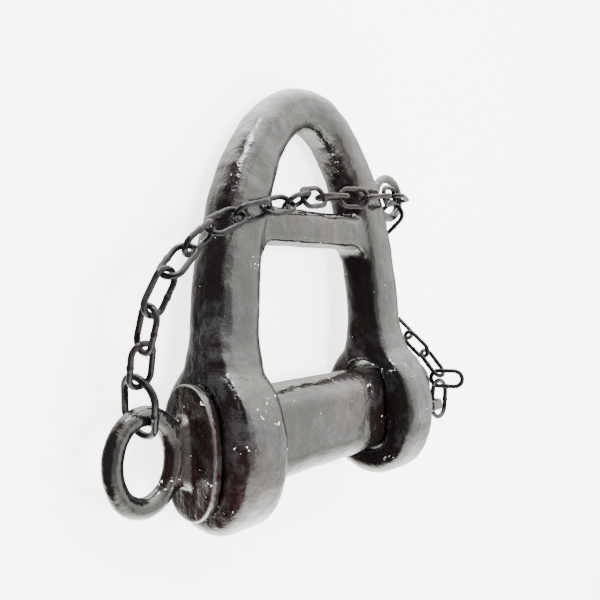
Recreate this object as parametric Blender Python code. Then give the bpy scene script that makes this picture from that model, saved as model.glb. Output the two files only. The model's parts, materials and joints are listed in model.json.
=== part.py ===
"""Bow shackle with a crossbar, an oval eye pin, a forelock key and two keeper chains.

Units are metres and +Z is up. The shackle lies on its back: it rests on the backs of its two
ears and on its crown. Everything is laid out in the shackle's own plane, with X along the pin,
Y from the pin towards the crown and Z out of the front face, and with its origin on the pin's
axis midway between the ears. The empty shackle_plane carries that plane to where it rests.
Sizes below are in millimetres.
"""
import math

import bmesh
import bpy
from mathutils import Matrix, Vector

MM = 0.001

# Where the shackle rests
TILT_DEG = 6.9              # the crown lies lower than the ears
PLANE_ORIGIN = (14.9, -157.0, 73.5)

# Bow: two limbs joined over the crown, each ending in an oval ear
EAR_CENTRE_X = 135.5
EAR_HALF_HEIGHT = 89.0
EAR_HALF_DEPTH = 73.0
EAR_HALF_THICK = 33.5
EAR_RIM = 17.0
LIMB_HALF_WIDTH = 34.0
LIMB_HALF_THICK = 30.0
LIMB_CORNER = 21.0
CROWN_HALF_WIDTH = 26.0
CROWN_HALF_THICK = 27.0
SHOULDER = ((131.0, 120.0), (124.0, 255.0), (72.0, 379.0), (0.0, 379.0))

# Crossbar between the limbs
BAR_BOTTOM = 213.0
BAR_TOP = 254.0
BAR_HALF_THICK = 24.0
BAR_END_X = 92.0
BAR_FILLET_START_X = 72.0
BAR_FILLET = 16.0

# Padeye: a round ring let into the right limb's outer side
PADEYE_CENTRE = (158.0, 286.5, 11.0)
PADEYE_RADIUS = 27.5
PADEYE_ROD = 12.5

# Pin
PIN_HALF_HEIGHT = 54.0
PIN_HALF_THICK = 33.0
PIN_END_X = 221.0
HOLE_CLEARANCE = 3.0
HOLE_RISE = 3.0             # the hole is that much higher than the pin, towards the crown
FLANGE_HALF_HEIGHT = 68.0
FLANGE_HALF_THICK = 43.0
FLANGE_THICK = 13.5
EYE_CENTRE = (-229.5, 2.0, 0.0)
EYE_HALF_X = 32.5
EYE_HALF_Y = 42.5
EYE_ROD = 21.0
NECK_HALF_HEIGHT = 33.0

# Forelock key, through the pin's right end
KEY_X = 202.5
KEY_Y = -6.0
KEY_WIDTH = 21.0
KEY_DEPTH = 14.0
KEY_TAIL = 14.0
KEY_TAPER = 3.0
KEY_HEAD_WIDTH = 25.0
KEY_HEAD_DEPTH = 15.0
KEY_HEAD_HEIGHT = 22.0
KEY_HOLE_RADIUS = 6.2
KEY_HOLE_HEIGHT = 12.0
SLOT_CLEARANCE = 1.0

# Chains: outer length, outer width and wire of each kind of link
LINK = (49.8, 28.0, 6.0)
EYE_LINK = (73.0, 47.0, 7.0)
PADEYE_LINK = (86.8, 30.0, 6.0)
REAR_END_LINK = (58.0, 34.0, 6.0)
KEY_LINK = (58.0, 41.0, 6.4)
LINK_PLAY = 1.7             # free travel of each link along the chain
SEAT_GAP = 0.35             # between pieces that touch
KEY_LINK_LEAN = 10.0        # degrees
KEY_LINK_RISE = 8.8         # the key holds it that far from its middle
CROSS_LINK_CENTRE = (225.0, 28.4, 56.4)
CROSS_LINK_PITCH = -70.0

# Routes of the chains: x, y, z, and the roll of the odd links about the route in degrees
FRONT_ROUTE = (
    (-227.0, 30.0, -11.0, -76.0),
    (-242.0, 78.0, 16.0, -90.0),
    (-247.0, 111.0, 31.0, -90.0),
    (-249.0, 140.0, 46.0, -84.0),
    (-238.0, 168.0, 52.0, -74.0),
    (-216.0, 191.0, 46.0, -60.0),
    (-189.0, 211.0, 41.0, -48.0),
    (-158.0, 230.0, 43.0, -45.0),
    (-124.0, 240.0, 46.0, -45.0),
    (-89.0, 249.0, 48.0, -42.0),
    (-56.0, 259.0, 41.0, -32.0),
    (-21.0, 267.0, 34.0, -15.0),
    (15.0, 270.0, 33.0, -2.0),
    (50.0, 272.0, 39.0, 0.0),
    (85.0, 275.0, 46.0, 0.0),
    (120.0, 282.0, 44.0, 0.0),
    (192.0, 287.0, 8.0, 0.0),
)
REAR_ROUTE = (
    (222.6, 35.6, 47.7, 5.0),
    (218.0, 64.0, 27.0, -5.0),
    (215.0, 88.0, 1.0, -15.0),
    (213.0, 112.0, -25.0, -25.0),
    (202.0, 142.0, -39.0, -8.0),
    (190.0, 179.0, -37.0, -35.0),
    (179.0, 213.0, -31.0, 5.0),
    (172.0, 236.0, -27.0, 25.0),
    (170.0, 271.0, 19.0, 20.0),
)


def clear_scene():
    for obj in list(bpy.data.objects):
        bpy.data.objects.remove(obj, do_unlink=True)


def material(name, colour, roughness, metallic):
    """A plain painted finish."""
    made = bpy.data.materials.new(name)
    made.use_nodes = True
    shader = made.node_tree.nodes["Principled BSDF"]
    shader.inputs["Base Color"].default_value = (*colour, 1.0)
    shader.inputs["Roughness"].default_value = roughness
    shader.inputs["Metallic"].default_value = metallic
    made.diffuse_color = (*colour, 1.0)
    return made


def add_object(name, bm, finish, parent, location=(0, 0, 0), rotation=None):
    """Turn a bmesh in metres into a smooth shaded object under parent."""
    bmesh.ops.recalc_face_normals(bm, faces=bm.faces)
    mesh = bpy.data.meshes.new(name)
    bm.to_mesh(mesh)
    bm.free()
    mesh.shade_smooth()
    mesh.set_sharp_from_angle(angle=math.radians(40))
    mesh.materials.append(finish)
    obj = bpy.data.objects.new(name, mesh)
    bpy.context.collection.objects.link(obj)
    obj.parent = parent
    obj.location = Vector(location) * MM
    if rotation is not None:
        obj.rotation_euler = rotation
    return obj


def make_cutter(obj):
    obj.hide_render = True
    obj.display_type = "WIRE"


def combine(obj, other, operation):
    """Union with, or difference of, another object, which becomes a hidden cutter."""
    modifier = obj.modifiers.new(f"{operation.lower()}_{other.name}", "BOOLEAN")
    modifier.operation = operation
    modifier.solver = "EXACT"
    modifier.object = other
    make_cutter(other)


def loft(rings, closed=False):
    """A tube through rings of points in millimetres, capped unless it closes on itself."""
    bm = bmesh.new()
    loops = [[bm.verts.new(Vector(point) * MM) for point in ring] for ring in rings]
    count = len(loops[0])
    pairs = list(zip(loops, loops[1:]))
    if closed:
        pairs.append((loops[-1], loops[0]))
    for here, there in pairs:
        for i in range(count):
            j = (i + 1) % count
            bm.faces.new((here[i], here[j], there[j], there[i]))
    if not closed:
        bm.faces.new(loops[0])
        bm.faces.new(loops[-1])
    return bm


def rounded_rectangle(half_u, half_v, radius, steps):
    """Points (u, v) round a rectangle with round corners, each corner in that many steps."""
    points = []
    for quarter in range(4):
        sign_u = (1, -1, -1, 1)[quarter]
        sign_v = (1, 1, -1, -1)[quarter]
        for step in range(steps + 1):
            angle = math.radians(90 * (quarter + step / steps))
            u = sign_u * (half_u - radius) + radius * math.cos(angle)
            v = sign_v * (half_v - radius) + radius * math.sin(angle)
            if not points or math.dist(points[-1], (u, v)) > 0.01:
                points.append((u, v))
    if math.dist(points[0], points[-1]) < 0.01:
        points.pop()
    return points


def oval(half_u, half_v, power, sides):
    """Points of a superellipse: power 2 is an ellipse, and more makes it squarer."""
    points = []
    for i in range(sides):
        c, s = math.cos(2 * math.pi * i / sides), math.sin(2 * math.pi * i / sides)
        u = math.copysign(abs(c) ** (2 / power), c)
        v = math.copysign(abs(s) ** (2 / power), s)
        points.append((half_u * u, half_v * v))
    return points


def circle(radius, sides):
    angles = [2 * math.pi * i / sides for i in range(sides)]
    return [(radius * math.cos(a), radius * math.sin(a)) for a in angles]


def bezier(points, t):
    """Point and unit tangent of a cubic Bezier curve in the plane."""
    p0, p1, p2, p3 = [Vector(p) for p in points]
    s = 1 - t
    place = s**3 * p0 + 3 * s * s * t * p1 + 3 * s * t * t * p2 + t**3 * p3
    tangent = 3 * (s * s * (p1 - p0) + 2 * s * t * (p2 - p1) + t * t * (p3 - p2))
    return place, tangent.normalized()


def limb_stations():
    """Right half of the bow: centre, tangent, half width and half thickness, foot to crown."""
    start = Vector(SHOULDER[0])
    foot = Vector((EAR_CENTRE_X, 0.0))
    along = (start - foot).normalized()
    flare = ((0.0, -3.0, 24.0), (55.0, -2.0, 19.0), (80.0, 0.0, 9.0), (100.0, 0.0, 3.0))
    stations = []
    for distance, wider, thicker in flare:
        place = foot + along * distance
        stations.append((place, along, LIMB_HALF_WIDTH + wider, LIMB_HALF_THICK + thicker))
    steps = 9
    for i in range(steps + 1):
        t = i / steps
        place, tangent = bezier(SHOULDER, t)
        ease = t * t * (3 - 2 * t)
        half_width = LIMB_HALF_WIDTH + (CROWN_HALF_WIDTH - LIMB_HALF_WIDTH) * ease
        half_thick = LIMB_HALF_THICK + (CROWN_HALF_THICK - LIMB_HALF_THICK) * ease
        stations.append((place, tangent, half_width, half_thick))
    return stations


def bow_rings():
    right = limb_stations()
    rings = []
    for place, tangent, half_width, half_thick in right:
        section = rounded_rectangle(half_width, half_thick, LIMB_CORNER, 4)
        outward = Vector((tangent.y, -tangent.x))
        rings.append([(place.x + outward.x * u, place.y + outward.y * u, v) for u, v in section])
    left = [[(-x, y, z) for x, y, z in ring] for ring in rings[:-1]]
    return rings + left[::-1]


def ear_rings(side):
    """An oval lug with a round rim, its axis along the pin."""
    steps = 4
    profile = []
    for i in range(steps + 1):
        angle = math.radians(90 * i / steps)
        x = -EAR_HALF_THICK + EAR_RIM * (1 - math.cos(angle))
        profile.append((x, EAR_RIM * (1 - math.sin(angle))))
    profile += [(-x, inset) for x, inset in profile[::-1]]
    centre = side * EAR_CENTRE_X
    rings = []
    for x, inset in profile:
        section = oval(EAR_HALF_HEIGHT - inset, EAR_HALF_DEPTH - inset, 2.15, 40)
        rings.append([(centre + x, y, z) for y, z in section])
    return rings


def stadium_prism(x_start, x_end, half_height, half_thick, rise=0.0, steps=8):
    """The pin's section drawn along X."""
    section = rounded_rectangle(half_height, half_thick, half_thick, steps)
    return loft([[(x, y + rise, z) for y, z in section] for x in (x_start, x_end)])


def bar_rings(grow=0.0):
    """Crossbar from limb to limb, with fillets where it meets them."""
    stations = [0.0, BAR_FILLET_START_X]
    steps = 4
    for i in range(1, steps + 1):
        angle = math.radians(90 * i / steps)
        stations.append(BAR_FILLET_START_X + BAR_FILLET * math.sin(angle))
    stations.append(BAR_END_X + grow)
    half = []
    for x in stations:
        into = min(max(x - BAR_FILLET_START_X, 0.0), BAR_FILLET)
        widen = BAR_FILLET - math.sqrt(BAR_FILLET**2 - into**2)
        bottom = BAR_BOTTOM - widen - grow
        top = BAR_TOP + 0.5 * widen + grow
        section = rounded_rectangle((top - bottom) / 2, BAR_HALF_THICK + grow, 9.0, 3)
        middle = (top + bottom) / 2
        half.append([(x, middle + y, z) for y, z in section])
    left = [[(-x, y, z) for x, y, z in ring] for ring in half[1:]]
    return left[::-1] + half


def ring_tube(centre, half_x, half_y, rod, around=28, sides=10):
    """Rings of a round bar bent into an oval in the shackle's plane."""
    rings = []
    for i in range(around):
        angle = 2 * math.pi * i / around
        place = Vector((half_x * math.cos(angle), half_y * math.sin(angle)))
        outward = Vector((half_y * math.cos(angle), half_x * math.sin(angle))).normalized()
        ring = []
        for u, v in circle(rod / 2, sides):
            ring.append((centre[0] + place.x + outward.x * u,
                         centre[1] + place.y + outward.y * u, centre[2] + v))
        rings.append(ring)
    return rings


def make_bow(parent, paint):
    body = add_object("bow_body", loft(bow_rings()), paint, parent)
    for side, word in ((-1, "left"), (1, "right")):
        ear = add_object(f"guide_ear_{word}", loft(ear_rings(side)), paint, parent)
        combine(body, ear, "UNION")
    reach = EAR_CENTRE_X + EAR_HALF_THICK + 5.0
    hole = stadium_prism(-reach, reach, PIN_HALF_HEIGHT + HOLE_CLEARANCE + HOLE_RISE,
                         PIN_HALF_THICK + HOLE_CLEARANCE, rise=HOLE_RISE)
    combine(body, add_object("guide_pin_hole", hole, paint, parent), "DIFFERENCE")
    pocket = loft(bar_rings(grow=3 * SEAT_GAP))
    combine(body, add_object("guide_bar_pocket", pocket, paint, parent), "DIFFERENCE")
    seat = loft(padeye_rings(PADEYE_ROD + 2 * SEAT_GAP), closed=True)
    combine(body, add_object("guide_padeye_seat", seat, paint, parent), "DIFFERENCE")


def padeye_rings(rod):
    return ring_tube(PADEYE_CENTRE, PADEYE_RADIUS, PADEYE_RADIUS, rod)


def make_crossbar(parent, paint):
    add_object("crossbar", loft(bar_rings()), paint, parent)


def make_padeye(parent, paint):
    add_object("padeye_ring", loft(padeye_rings(PADEYE_ROD), closed=True), paint, parent)


def make_pin(parent, paint):
    """Shank with the key's slot, then the flange, the neck and the eye at its left end."""
    face = -EAR_CENTRE_X - EAR_HALF_THICK - SEAT_GAP
    shank = stadium_prism(face - SEAT_GAP, PIN_END_X, PIN_HALF_HEIGHT, PIN_HALF_THICK)
    shank = add_object("pin_shank", shank, paint, parent)
    slot = rounded_rectangle(KEY_WIDTH / 2 + SLOT_CLEARANCE, KEY_DEPTH / 2 + SLOT_CLEARANCE, 2.0, 2)
    reach = PIN_HALF_THICK + 5.0
    slot = loft([[(KEY_X + x, KEY_Y + y, z) for x, y in slot] for z in (-reach, reach)])
    combine(shank, add_object("guide_key_slot", slot, paint, parent), "DIFFERENCE")

    inner = face - 2 * SEAT_GAP
    outer = inner - FLANGE_THICK
    edge = 1.5
    profile = ((outer, edge), (outer + edge, 0.0), (inner - edge, 0.0), (inner, edge))
    rings = []
    for x, inset in profile:
        section = oval(FLANGE_HALF_HEIGHT - inset, FLANGE_HALF_THICK - inset, 2.3, 40)
        rings.append([(x, y, z) for y, z in section])
    add_object("pin_flange", loft(rings), paint, parent)

    eye = loft(ring_tube(EYE_CENTRE, EYE_HALF_X, EYE_HALF_Y, EYE_ROD, 32, 12), closed=True)
    eye = add_object("pin_eye", eye, paint, parent)
    neck_start = EYE_CENTRE[0] + EYE_HALF_X - 3.0
    neck_end = outer - SEAT_GAP
    rings = []
    for i in range(5):
        t = i / 4
        half_height = NECK_HALF_HEIGHT + 4.0 * (2 * t - 1) ** 2
        section = rounded_rectangle(half_height, EYE_ROD / 2 - 0.6 + 4.0 * t * t, 7.5, 3)
        x = neck_start + (neck_end - neck_start) * t
        rings.append([(x, EYE_CENTRE[1] + y, z) for y, z in section])
    combine(eye, add_object("guide_neck", loft(rings), paint, parent), "UNION")


def make_key(parent, metal):
    """Flat tapered bar with a head that rests on the pin, and a cross hole for the chain."""
    top = PIN_HALF_THICK + SEAT_GAP + KEY_HEAD_HEIGHT
    under = PIN_HALF_THICK + SEAT_GAP
    tip = -PIN_HALF_THICK - KEY_TAIL
    edge = 2.0
    stations = (
        (tip, KEY_WIDTH - KEY_TAPER - edge, KEY_DEPTH - KEY_TAPER - edge),
        (tip + edge, KEY_WIDTH - KEY_TAPER, KEY_DEPTH - KEY_TAPER),
        (under, KEY_WIDTH, KEY_DEPTH),
        (under + 0.01, KEY_HEAD_WIDTH, KEY_HEAD_DEPTH),
        (top - edge, KEY_HEAD_WIDTH, KEY_HEAD_DEPTH),
        (top, KEY_HEAD_WIDTH - 2 * edge, KEY_HEAD_DEPTH - 2 * edge),
    )
    rings = []
    for z, width, depth in stations:
        section = rounded_rectangle(width / 2, depth / 2, 2.5, 2)
        rings.append([(x, y, z) for x, y in section])
    key = add_object("forelock_key", loft(rings), metal, parent, location=(KEY_X, KEY_Y, 0))
    height = PIN_HALF_THICK + KEY_HOLE_HEIGHT
    hole = loft([[(x, y, height + z) for x, z in circle(KEY_HOLE_RADIUS, 12)]
                 for y in (-KEY_HEAD_DEPTH, KEY_HEAD_DEPTH)])
    hole = add_object("guide_key_hole", hole, metal, parent, location=(KEY_X, KEY_Y, 0))
    combine(key, hole, "DIFFERENCE")


def link_mesh(size, sides=8, bend_steps=6):
    """An oval link: its length along X, its width along Y."""
    length, width, wire = size
    radius = (width - wire) / 2
    straight = (length - width) / 2
    rings = []
    for end in (1, -1):
        for step in range(bend_steps + 1):
            angle = math.radians(-90 + 180 * step / bend_steps) + (0 if end == 1 else math.pi)
            outward = Vector((math.cos(angle), math.sin(angle), 0))
            place = Vector((end * straight, 0, 0)) + outward * radius
            ring = []
            for u, v in circle(wire / 2, sides):
                ring.append(place + outward * u + Vector((0, 0, v)))
            rings.append(ring)
    return loft(rings, closed=True)


def catmull_rom(points, samples):
    """Points of a smooth curve through the given ones, which may hold any number of values."""
    ends = [points[0]] + list(points) + [points[-1]]
    curve = []
    for a, b, c, d in zip(ends, ends[1:], ends[2:], ends[3:]):
        for i in range(samples):
            t = i / samples
            curve.append([
                0.5 * (2 * q + (r - p) * t + (2 * p - 5 * q + 4 * r - s) * t * t
                       + (3 * q - p - 3 * r + s) * t**3)
                for p, q, r, s in zip(a, b, c, d)
            ])
    curve.append(list(points[-1]))
    return curve


def step_along(curve, index, start, distance):
    """The next curve point that lies the given distance from start, with its index."""
    while index < len(curve) - 1 and math.dist(curve[index][:3], start[:3]) < distance:
        index += 1
    here, before = curve[index], curve[index - 1]
    gone, left = math.dist(before[:3], start[:3]), math.dist(here[:3], start[:3])
    share = (distance - gone) / (left - gone)
    return [a + (b - a) * share for a, b in zip(before, here)], index


def pitch(size):
    length, _, wire = size
    return length - 2 * wire - LINK_PLAY


def link_frame(direction, roll_deg, odd):
    """Rotation that lays a link's length along direction, rolled about it."""
    along = direction.normalized()
    up = Vector((0, 0, 1))
    up = (up - along * up.dot(along)).normalized()
    normal = Matrix.Rotation(math.radians(roll_deg + (0 if odd else 90)), 3, along) @ up
    side = normal.cross(along)
    return Matrix((along, side, normal)).transposed().to_euler()


def make_chain(prefix, route, sizes, parent, metal, first=1):
    """Links one after another along the route, each turned a quarter turn from the last."""
    curve = catmull_rom(route, 24)
    here, index = curve[0], 1
    for number, size in enumerate(sizes, start=first):
        there, index = step_along(curve, index, here, pitch(size))
        start, end = Vector(here[:3]), Vector(there[:3])
        turn = link_frame(end - start, (here[3] + there[3]) / 2, number % 2 == 1)
        add_object(f"{prefix}_{number:02d}", link_mesh(size), metal, parent,
                   location=(start + end) / 2, rotation=turn)
        here = there
    return here


def make_key_link(parent, metal):
    """The rear chain's end link, one side of it through the key's cross hole."""
    _, width, wire = KEY_LINK
    along = Vector((math.sin(math.radians(KEY_LINK_LEAN)), math.cos(math.radians(KEY_LINK_LEAN)), 0))
    across = Vector((along.y, -along.x, 0))
    hole = Vector((KEY_X, KEY_Y, PIN_HALF_THICK + KEY_HOLE_HEIGHT))
    centre = hole + across * (width - wire) / 2 + along * KEY_LINK_RISE
    add_object("rear_link_01", link_mesh(KEY_LINK), metal, parent,
               location=centre, rotation=(0, 0, math.radians(90 - KEY_LINK_LEAN)))


def make_cross_link(parent, metal):
    """The rear chain's second link, which hangs slack across the chain."""
    add_object("rear_link_02", link_mesh(LINK), metal, parent, location=CROSS_LINK_CENTRE,
               rotation=(0, math.radians(CROSS_LINK_PITCH), 0))


def main():
    clear_scene()
    paint = material("bow_paint", (0.045, 0.045, 0.046), 0.3, 0.1)
    pin_paint = material("pin_paint", (0.05, 0.05, 0.051), 0.32, 0.1)
    metal = material("chain_paint", (0.035, 0.035, 0.037), 0.25, 0.3)
    plane = bpy.data.objects.new("shackle_plane", None)
    bpy.context.collection.objects.link(plane)
    plane.location = Vector(PLANE_ORIGIN) * MM
    plane.rotation_euler = (math.radians(-TILT_DEG), 0, 0)
    make_bow(plane, paint)
    make_crossbar(plane, paint)
    make_padeye(plane, paint)
    make_pin(plane, pin_paint)
    make_key(plane, metal)
    front = [EYE_LINK] + [LINK] * 14 + [PADEYE_LINK]
    make_chain("front_link", FRONT_ROUTE, front, plane, metal)
    make_key_link(plane, metal)
    make_cross_link(plane, metal)
    make_chain("rear_link", REAR_ROUTE, [LINK] * 7 + [REAR_END_LINK], plane, metal, first=3)


main()
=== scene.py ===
import json
import math

import bmesh
import bpy
import numpy as np
from mathutils import Matrix, Vector, noise


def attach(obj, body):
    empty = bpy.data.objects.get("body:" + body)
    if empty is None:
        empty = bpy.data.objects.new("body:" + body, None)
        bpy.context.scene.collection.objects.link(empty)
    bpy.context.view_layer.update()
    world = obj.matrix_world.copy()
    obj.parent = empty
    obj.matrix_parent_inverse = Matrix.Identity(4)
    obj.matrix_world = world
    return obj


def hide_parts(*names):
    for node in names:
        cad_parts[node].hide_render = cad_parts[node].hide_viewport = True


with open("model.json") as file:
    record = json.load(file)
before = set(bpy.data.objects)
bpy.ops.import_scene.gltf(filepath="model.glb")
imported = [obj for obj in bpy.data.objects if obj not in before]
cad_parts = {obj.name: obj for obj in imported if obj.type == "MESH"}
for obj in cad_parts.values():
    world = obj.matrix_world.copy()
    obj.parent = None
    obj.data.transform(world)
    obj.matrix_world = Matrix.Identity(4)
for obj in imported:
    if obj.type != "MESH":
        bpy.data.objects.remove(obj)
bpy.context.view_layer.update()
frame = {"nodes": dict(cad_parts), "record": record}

# Lengths are in metres. The shackle's own plane has X along the pin, Y from the pin to the crown
# and Z out of the front face. It lies on its back on the floor, so this plane is tilted in the
# row's frame.
TILT = math.radians(-6.9)
PLANE = Matrix.Translation((0.0149, -0.157, 0.0735)) @ Matrix.Rotation(TILT, 4, "X")
MIDDLE = (0.0, 0.16, 0.0)   # of the shackle, in its plane: what the lights aim at

# Camera, placed in the shackle's plane
CAMERA_AZIMUTH, CAMERA_PITCH, CAMERA_ROLL = 43.72, 1.45, -1.69          # degrees
CAMERA_DISTANCE, CAMERA_RIGHT, CAMERA_UP = 0.705, -0.009, 0.16934
SENSOR_WIDTH, LENS = 36, 34.8                                           # millimetres
FRAMING_SHIFT = -0.03
CLIP_START = 0.01

# Floor: white and luminous, so that shadows on it are faint
FLOOR_HALF, FLOOR_DROP = 6.0, 0.0005
FLOOR_WHITE = (0.93, 0.93, 0.93, 1)
FLOOR_GLOW = 3.0

# Room that the paint reflects, and the plain backdrop that the camera sees instead of it
ROOM_PALE, PALE_UNTIL = (1.0, 0.99, 0.94, 1), 0.22
ROOM_DARK, DARK_FROM = (0.018, 0.006, 0.006, 1), 0.60
ROOM_ENDS, ROOM_BASE = 11.0, 1.1
BACKDROP, BACKDROP_GLOW = (0.94, 0.94, 0.93, 1), 3.0

# Forgings: lumps are (size, height) pairs
BOW_LUMPS = ((0.080, 0.0016), (0.030, 0.0011), (0.011, 0.00034))
RING_LUMPS = ((0.030, 0.0004), (0.009, 0.00015))
PIN_LUMPS = ((0.060, 0.0010), (0.024, 0.0008), (0.010, 0.00026))
KEY_LUMPS = ((0.012, 0.0002), (0.005, 0.0001))
LUMPS_INWARD_PAST = 0.160   # this far out along X, lumps only sink: the key's head and the
                            # flange come close to the ears there

# Links
BEND_STEPS, RUN_STEPS, WIRE_SIDES = 14, 18, 20
GRAIN_SCALE, GRAIN_STEP = 160, 7.3      # per metre, and from one link to the next
WELD_PLACE, WELD_REACH = 0.0004, 0.34   # along the link, and in wires
WELD_EDGE = 0.05            # below this much weld, a straight run is plain wire
PLAIN_WIRE = 0.99           # its thickness beside the bends'
WIRE_BASE, GRAIN_HEIGHT, WELD_HEIGHT = 0.985, 0.03, 0.17     # shares of the wire


# ---------------------------------------------------------------- camera, floor and light

def in_plane(x, y, z):
    """A point given in the shackle's plane, as a point in the row's frame."""
    return PLANE @ Vector((x, y, z))


def make_camera():
    azimuth, pitch = math.radians(CAMERA_AZIMUTH), math.radians(CAMERA_PITCH)
    roll = math.radians(CAMERA_ROLL)
    forward = Vector((math.cos(azimuth) * math.cos(pitch), math.sin(pitch),
                      -math.sin(azimuth) * math.cos(pitch)))
    level = forward.cross(Vector((0, 1, 0))).normalized()
    upright = level.cross(forward)
    place = -forward * CAMERA_DISTANCE + level * CAMERA_RIGHT + upright * CAMERA_UP
    right = level * math.cos(roll) + upright * math.sin(roll)
    up = upright * math.cos(roll) - level * math.sin(roll)
    turn = Matrix((right, up, -forward)).transposed().to_4x4()
    data = bpy.data.cameras.new("camera")
    data.sensor_width = SENSOR_WIDTH
    data.lens = LENS
    data.shift_y = FRAMING_SHIFT
    data.clip_start = CLIP_START
    camera = bpy.data.objects.new("camera", data)
    bpy.context.scene.collection.objects.link(camera)
    camera.matrix_world = PLANE @ Matrix.Translation(place) @ turn
    bpy.context.scene.camera = camera


def make_floor():
    mesh = bpy.data.meshes.new("floor")
    corners = ((-1, -1), (1, -1), (1, 1), (-1, 1))
    mesh.from_pydata([(x * FLOOR_HALF, y * FLOOR_HALF, -FLOOR_DROP) for x, y in corners],
                     [], [(0, 1, 2, 3)])
    floor = bpy.data.objects.new("floor", mesh)
    bpy.context.scene.collection.objects.link(floor)
    finish = bpy.data.materials.new("floor_white")
    finish.use_nodes = True
    shader = finish.node_tree.nodes["Principled BSDF"]
    shader.inputs["Base Color"].default_value = FLOOR_WHITE
    shader.inputs["Roughness"].default_value = 0.9
    shader.inputs["Specular IOR Level"].default_value = 0.1
    shader.inputs["Emission Color"].default_value = (1, 1, 1, 1)
    shader.inputs["Emission Strength"].default_value = FLOOR_GLOW
    mesh.materials.append(finish)
    floor.visible_glossy = False    # the paint reflects the room and not the floor


def area_light(name, place, size, power):
    """A rectangular lamp placed in the shackle's plane and aimed at its middle."""
    data = bpy.data.lights.new(name, "AREA")
    data.shape = "RECTANGLE"
    data.size, data.size_y = size
    data.energy = power
    light = bpy.data.objects.new(name, data)
    bpy.context.scene.collection.objects.link(light)
    light.location = in_plane(*place)
    aim = in_plane(*MIDDLE) - light.location
    light.rotation_euler = aim.to_track_quat("-Z", "Y").to_euler()
    return light


def make_room():
    """What the paint reflects is dark to the left and brightest past the crown and the ears.

    The camera itself sees a plain pale backdrop.
    """
    world = bpy.data.worlds.new("studio")
    bpy.context.scene.world = world
    world.use_nodes = True
    tree = world.node_tree
    tree.nodes.clear()

    def node(kind, operation=None):
        made = tree.nodes.new(kind)
        if operation is not None:
            made.operation = operation
        return made

    where = node("ShaderNodeTexCoord")
    split = node("ShaderNodeSeparateXYZ")
    leftward = node("ShaderNodeMath", "MULTIPLY")
    leftward.inputs[1].default_value = -1.0
    ramp = node("ShaderNodeValToRGB")
    pale, dark = ramp.color_ramp.elements
    pale.position, pale.color = PALE_UNTIL, ROOM_PALE
    dark.position, dark.color = DARK_FROM, ROOM_DARK
    square = node("ShaderNodeMath", "MULTIPLY")
    strength = node("ShaderNodeMath", "MULTIPLY_ADD")
    strength.inputs[1].default_value = ROOM_ENDS
    strength.inputs[2].default_value = ROOM_BASE
    room = node("ShaderNodeBackground")
    backdrop = node("ShaderNodeBackground")
    backdrop.inputs["Color"].default_value = BACKDROP
    backdrop.inputs["Strength"].default_value = BACKDROP_GLOW
    seen = node("ShaderNodeLightPath")
    choose = node("ShaderNodeMixShader")
    out = node("ShaderNodeOutputWorld")
    for output, socket in (
            (where.outputs["Generated"], split.inputs[0]),
            (split.outputs["X"], leftward.inputs[0]),
            (leftward.outputs["Value"], ramp.inputs["Fac"]),
            (split.outputs["Y"], square.inputs[0]),
            (split.outputs["Y"], square.inputs[1]),
            (square.outputs["Value"], strength.inputs[0]),
            (strength.outputs["Value"], room.inputs["Strength"]),
            (ramp.outputs["Color"], room.inputs["Color"]),
            (seen.outputs["Is Camera Ray"], choose.inputs[0]),
            (room.outputs["Background"], choose.inputs[1]),
            (backdrop.outputs["Background"], choose.inputs[2]),
            (choose.outputs["Shader"], out.inputs["Surface"])):
        tree.links.new(output, socket)


def make_lights():
    make_room()
    front = area_light("front_box", (1.5, 0.25, 1.6), (2.4, 2.6), 52)
    front.data.color = (1.0, 0.99, 0.95)
    crown = area_light("crown_box", (-0.75, 1.7, 0.45), (0.45, 0.5), 34)
    crown.data.color = (0.86, 0.91, 1.0)
    wash = area_light("floor_wash", (-0.3, 0.2, 2.6), (0.7, 0.7), 110)
    wash.visible_glossy = False


# ---------------------------------------------------------------- materials

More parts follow.
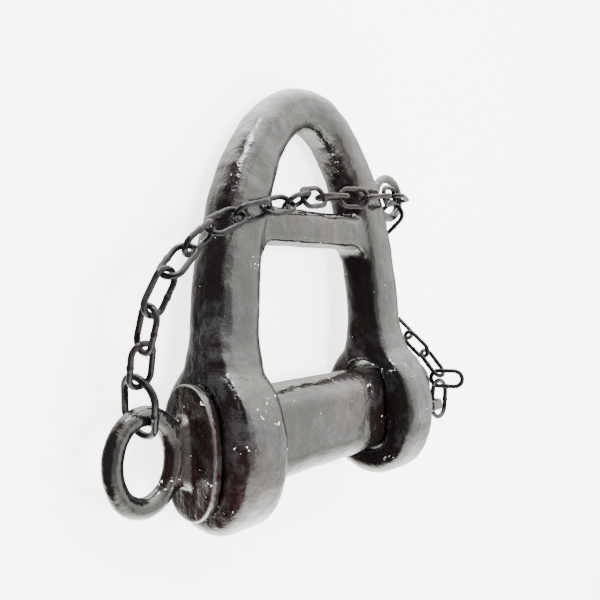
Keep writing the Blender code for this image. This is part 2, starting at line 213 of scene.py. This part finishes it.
class Nodes:
    """Small helper for building one material's nodes."""

    def __init__(self, name):
        self.material = bpy.data.materials.new(name)
        self.material.use_nodes = True
        self.tree = self.material.node_tree
        self.shader = self.tree.nodes["Principled BSDF"]
        self.place = self.tree.nodes.new("ShaderNodeTexCoord").outputs["Object"]

    def link(self, output, socket):
        self.tree.links.new(output, socket)

    def mapped(self, scale):
        """Object coordinates turned into the shackle's plane and scaled on each axis."""
        turn = self.tree.nodes.new("ShaderNodeMapping")
        turn.inputs["Rotation"].default_value = (-TILT, 0, 0)
        self.link(self.place, turn.inputs["Vector"])
        stretch = self.tree.nodes.new("ShaderNodeMapping")
        stretch.inputs["Scale"].default_value = scale
        self.link(turn.outputs["Vector"], stretch.inputs["Vector"])
        return stretch.outputs["Vector"]

    def noise(self, scale, detail=3.0, rough=0.5, vector=None):
        made = self.tree.nodes.new("ShaderNodeTexNoise")
        made.inputs["Scale"].default_value = scale
        made.inputs["Detail"].default_value = detail
        made.inputs["Roughness"].default_value = rough
        self.link(vector or self.place, made.inputs["Vector"])
        return made.outputs["Fac"]

    def ramp(self, value, low, high, first=(0, 0, 0, 1), last=(1, 1, 1, 1)):
        made = self.tree.nodes.new("ShaderNodeValToRGB")
        made.color_ramp.elements[0].position = low
        made.color_ramp.elements[0].color = first
        made.color_ramp.elements[1].position = high
        made.color_ramp.elements[1].color = last
        self.link(value, made.inputs["Fac"])
        return made.outputs["Color"]

    def mix(self, share, first, last):
        """Blends two colours, each a tuple or an output."""
        made = self.tree.nodes.new("ShaderNodeMix")
        made.data_type = "RGBA"
        self.link(share, made.inputs["Factor"])
        colour_a, colour_b, blended = made.inputs[6], made.inputs[7], made.outputs[2]
        for value, socket in ((first, colour_a), (last, colour_b)):
            if isinstance(value, tuple):
                socket.default_value = (*value, 1)
            else:
                self.link(value, socket)
        return blended

    def product(self, first, last):
        """Multiplies an output by a number or by another output."""
        made = self.tree.nodes.new("ShaderNodeMath")
        made.operation = "MULTIPLY"
        for value, socket in zip((first, last), made.inputs):
            if isinstance(value, (int, float)):
                socket.default_value = value
            else:
                self.link(value, socket)
        return made.outputs["Value"]

    def bump(self, height, distance, strength, under=None):
        made = self.tree.nodes.new("ShaderNodeBump")
        made.inputs["Distance"].default_value = distance
        made.inputs["Strength"].default_value = strength
        self.link(height, made.inputs["Height"])
        if under is not None:
            self.link(under, made.inputs["Normal"])
        return made.outputs["Normal"]


def paint(name, dark, warm, chips=0.73, lump=0.0009, gloss=(0.06, 0.21), coat=0.2, grey=0.14,
          level=0.5):
    """Thick glossy bitumen paint: dark body, thin warm patches, runs, orange peel and chips."""
    n = Nodes(name)
    broad = n.noise(scale=14, detail=4, rough=0.6)
    paler = tuple(c * 1.35 for c in dark)
    base = n.mix(n.ramp(broad, low=0.38, high=0.68), dark, paler)
    patches = n.noise(scale=9.5, detail=2, rough=0.5)
    base = n.mix(n.ramp(patches, low=0.50, high=0.78), base, warm)
    dust = n.product(n.noise(scale=55, detail=6, rough=0.75), n.noise(scale=11, detail=2))
    dusty = n.ramp(dust, low=0.27, high=0.36)
    base = n.mix(n.product(dusty, grey), base, (0.10, 0.10, 0.105))
    chipped = n.product(n.noise(scale=260, detail=3, rough=0.6),
                        n.noise(scale=24, detail=3, rough=0.6))
    specks = n.ramp(chipped, low=chips * 0.56, high=chips * 0.565)
    base = n.mix(specks, base, (0.62, 0.62, 0.60))
    n.link(base, n.shader.inputs["Base Color"])
    low, high = gloss
    rough = n.ramp(n.noise(scale=30, detail=5, rough=0.65), low=0.3, high=0.72,
                   first=(low, low, low, 1), last=(high, high, high, 1))
    rough = n.mix(specks, rough, (0.6, 0.6, 0.6))
    n.link(rough, n.shader.inputs["Roughness"])
    n.shader.inputs["Coat Weight"].default_value = coat
    n.shader.inputs["Coat Roughness"].default_value = 0.06
    n.shader.inputs["Specular IOR Level"].default_value = level
    runs = n.noise(scale=1.0, detail=2, rough=0.5, vector=n.mapped((80, 17, 80)))
    peel = n.noise(scale=75, detail=4, rough=0.55)
    grit = n.noise(scale=300, detail=3, rough=0.6)
    normal = n.bump(runs, distance=lump * 1.1, strength=0.7)
    normal = n.bump(peel, distance=lump * 1.4, strength=0.85, under=normal)
    normal = n.bump(grit, distance=lump * 0.24, strength=0.8, under=normal)
    # with its negative strength, the chips' own bump changes almost nothing in the render
    normal = n.bump(specks, distance=lump * 0.35, strength=-0.6, under=normal)
    n.link(normal, n.shader.inputs["Normal"])
    return n.material


# ---------------------------------------------------------------- fine meshes

def cad_mesh(nodes):
    """One bmesh holding the CAD nodes' own shapes."""
    bm = bmesh.new()
    for node in nodes:
        bm.from_mesh(frame["nodes"][node].data)
    return bm


def fine_copy(name, nodes, voxel, smoothing, lumps, finish, body):
    """The CAD nodes run together as one forging: remeshed finely, smoothed and made lumpy."""
    bm = cad_mesh(nodes)
    mesh = bpy.data.meshes.new(name)
    bm.to_mesh(mesh)
    bm.free()
    piece = bpy.data.objects.new(name, mesh)
    bpy.context.scene.collection.objects.link(piece)
    remesh = piece.modifiers.new("fine", "REMESH")
    remesh.mode = "VOXEL"
    remesh.voxel_size = voxel
    smooth = piece.modifiers.new("smooth", "SMOOTH")
    smooth.factor = 0.5
    smooth.iterations = smoothing
    depsgraph = bpy.context.evaluated_depsgraph_get()
    made = bpy.data.meshes.new_from_object(piece.evaluated_get(depsgraph))
    piece.modifiers.clear()
    piece.data = made
    made.name = name
    raise_lumps(made, lumps)
    made.shade_smooth()
    made.materials.clear()
    made.materials.append(finish)
    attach(piece, body)
    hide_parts(*nodes)


def raise_lumps(mesh, lumps):
    """Moves each vertex along its normal by a sum of noises, each (size, height)."""
    count = len(mesh.vertices)
    normals = np.empty(count * 3, dtype=np.float32)
    mesh.vertex_normals.foreach_get("vector", normals)
    normals = normals.reshape(-1, 3)
    places = np.empty(count * 3, dtype=np.float32)
    mesh.vertices.foreach_get("co", places)
    places = places.reshape(-1, 3)
    shift = np.zeros(count, dtype=np.float32)
    for size, height in lumps:
        shift += height * np.array([noise.noise(Vector(p) / size) for p in places.tolist()],
                                   dtype=np.float32)
    beyond = np.abs(places[:, 0] - PLANE.translation.x) > LUMPS_INWARD_PAST
    shift[beyond] = np.minimum(shift[beyond], 0.0)
    places += normals * shift[:, None]
    mesh.vertices.foreach_set("co", places.ravel())
    mesh.update()


def link_shape(node):
    """Middle, axes (along, across, through) and outer length, width and wire of a CAD link."""
    mesh = frame["nodes"][node].data
    places = np.array([v.co[:] for v in mesh.vertices])
    middle = places.mean(axis=0)
    _, axes = np.linalg.eigh(np.cov((places - middle).T))
    axes = axes[:, ::-1].T
    axes[2] = np.cross(axes[0], axes[1])
    local = (places - middle) @ axes.T
    spans = local.max(axis=0) - local.min(axis=0)
    middle = middle + ((local.max(axis=0) + local.min(axis=0)) / 2) @ axes
    return middle, axes, spans


def link_path(straight, radius):
    """Points round a link's middle line: x, y and the outward direction."""
    path = []
    for end in (1, -1):
        for step in range(BEND_STEPS + 1):
            angle = math.pi * (step / BEND_STEPS - 0.5) + (0 if end == 1 else math.pi)
            out = (math.cos(angle), math.sin(angle))
            path.append((end * straight + out[0] * radius, out[1] * radius, out))
        for step in range(1, RUN_STEPS):
            x = end * straight * (1 - 2 * step / RUN_STEPS)
            path.append((x, end * radius, (0, end)))
    return path


def make_link(node, finish, body, seed):
    """A welded link with round wire, in the CAD link's place and size."""
    middle, axes, (length, width, wire) = link_shape(node)
    radius, straight = (width - wire) / 2, (length - width) / 2
    bm = bmesh.new()
    loops = []
    for x, y, out in link_path(straight, radius):
        weld = math.exp(-((x - WELD_PLACE) / (WELD_REACH * wire)) ** 4) if y < 0 else 0.0
        plain = abs(x) <= straight and weld < WELD_EDGE
        loop = []
        for i in range(WIRE_SIDES):
            angle = 2 * math.pi * i / WIRE_SIDES
            grain = noise.noise(Vector((x * GRAIN_SCALE, y * GRAIN_SCALE,
                                        angle + seed * GRAIN_STEP)))
            bead = WELD_HEIGHT * weld * (0.8 + 0.4 * math.cos(angle) ** 2)
            rod = wire / 2 * (WIRE_BASE + GRAIN_HEIGHT * grain + bead)
            if plain:
                rod *= PLAIN_WIRE
            u, v = rod * math.cos(angle), rod * math.sin(angle)
            local = np.array((x + out[0] * u, y + out[1] * u, v))
            loop.append(bm.verts.new(Vector(middle + local @ axes)))
        loops.append(loop)
    for here, there in zip(loops, loops[1:] + loops[:1]):
        for i in range(WIRE_SIDES):
            j = (i + 1) % WIRE_SIDES
            bm.faces.new((here[i], here[j], there[j], there[i]))
    bmesh.ops.recalc_face_normals(bm, faces=bm.faces)
    mesh = bpy.data.meshes.new(f"chain_{node}")
    bm.to_mesh(mesh)
    bm.free()
    mesh.shade_smooth()
    mesh.materials.append(finish)
    piece = bpy.data.objects.new(f"chain_{node}", mesh)
    bpy.context.scene.collection.objects.link(piece)
    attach(piece, body)
    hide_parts(node)


# ---------------------------------------------------------------- the shackle

def main():
    make_camera()
    make_lights()
    make_floor()
    bow_finish = paint("bow_coat", (0.0035, 0.0032, 0.0032), (0.010, 0.0038, 0.0038))
    pin_finish = paint("pin_coat", (0.004, 0.0037, 0.0037), (0.011, 0.0045, 0.0045), chips=0.76)
    key_finish = paint("key_coat", (0.005, 0.005, 0.005), (0.011, 0.006, 0.006),
                       lump=0.0004, chips=0.8)
    chain_finish = paint("chain_coat", (0.0035, 0.0035, 0.0038), (0.009, 0.004, 0.004),
                         chips=0.82, lump=0.00022, gloss=(0.05, 0.15), coat=0.03, grey=0.1,
                         level=0.15)
    fine_copy("bow_forging", ["bow_body", "crossbar"], voxel=0.0021, smoothing=36,
              lumps=BOW_LUMPS, finish=bow_finish, body="bow")
    fine_copy("padeye", ["padeye_ring"], voxel=0.0009, smoothing=8,
              lumps=RING_LUMPS, finish=bow_finish, body="bow")
    fine_copy("pin_forging", ["pin_shank", "pin_flange", "pin_eye"], voxel=0.0015, smoothing=22,
              lumps=PIN_LUMPS, finish=pin_finish, body="pin")
    fine_copy("key_bar", ["forelock_key"], voxel=0.0007, smoothing=4,
              lumps=KEY_LUMPS, finish=key_finish, body="key")
    homes = {}
    for body, nodes in frame["record"]["behaviour"]["bodies"].items():
        for node in nodes:
            homes[node] = body
    for seed, node in enumerate(sorted(homes)):
        if "_link_" in node:
            make_link(node, chain_finish, homes[node], seed)


main()
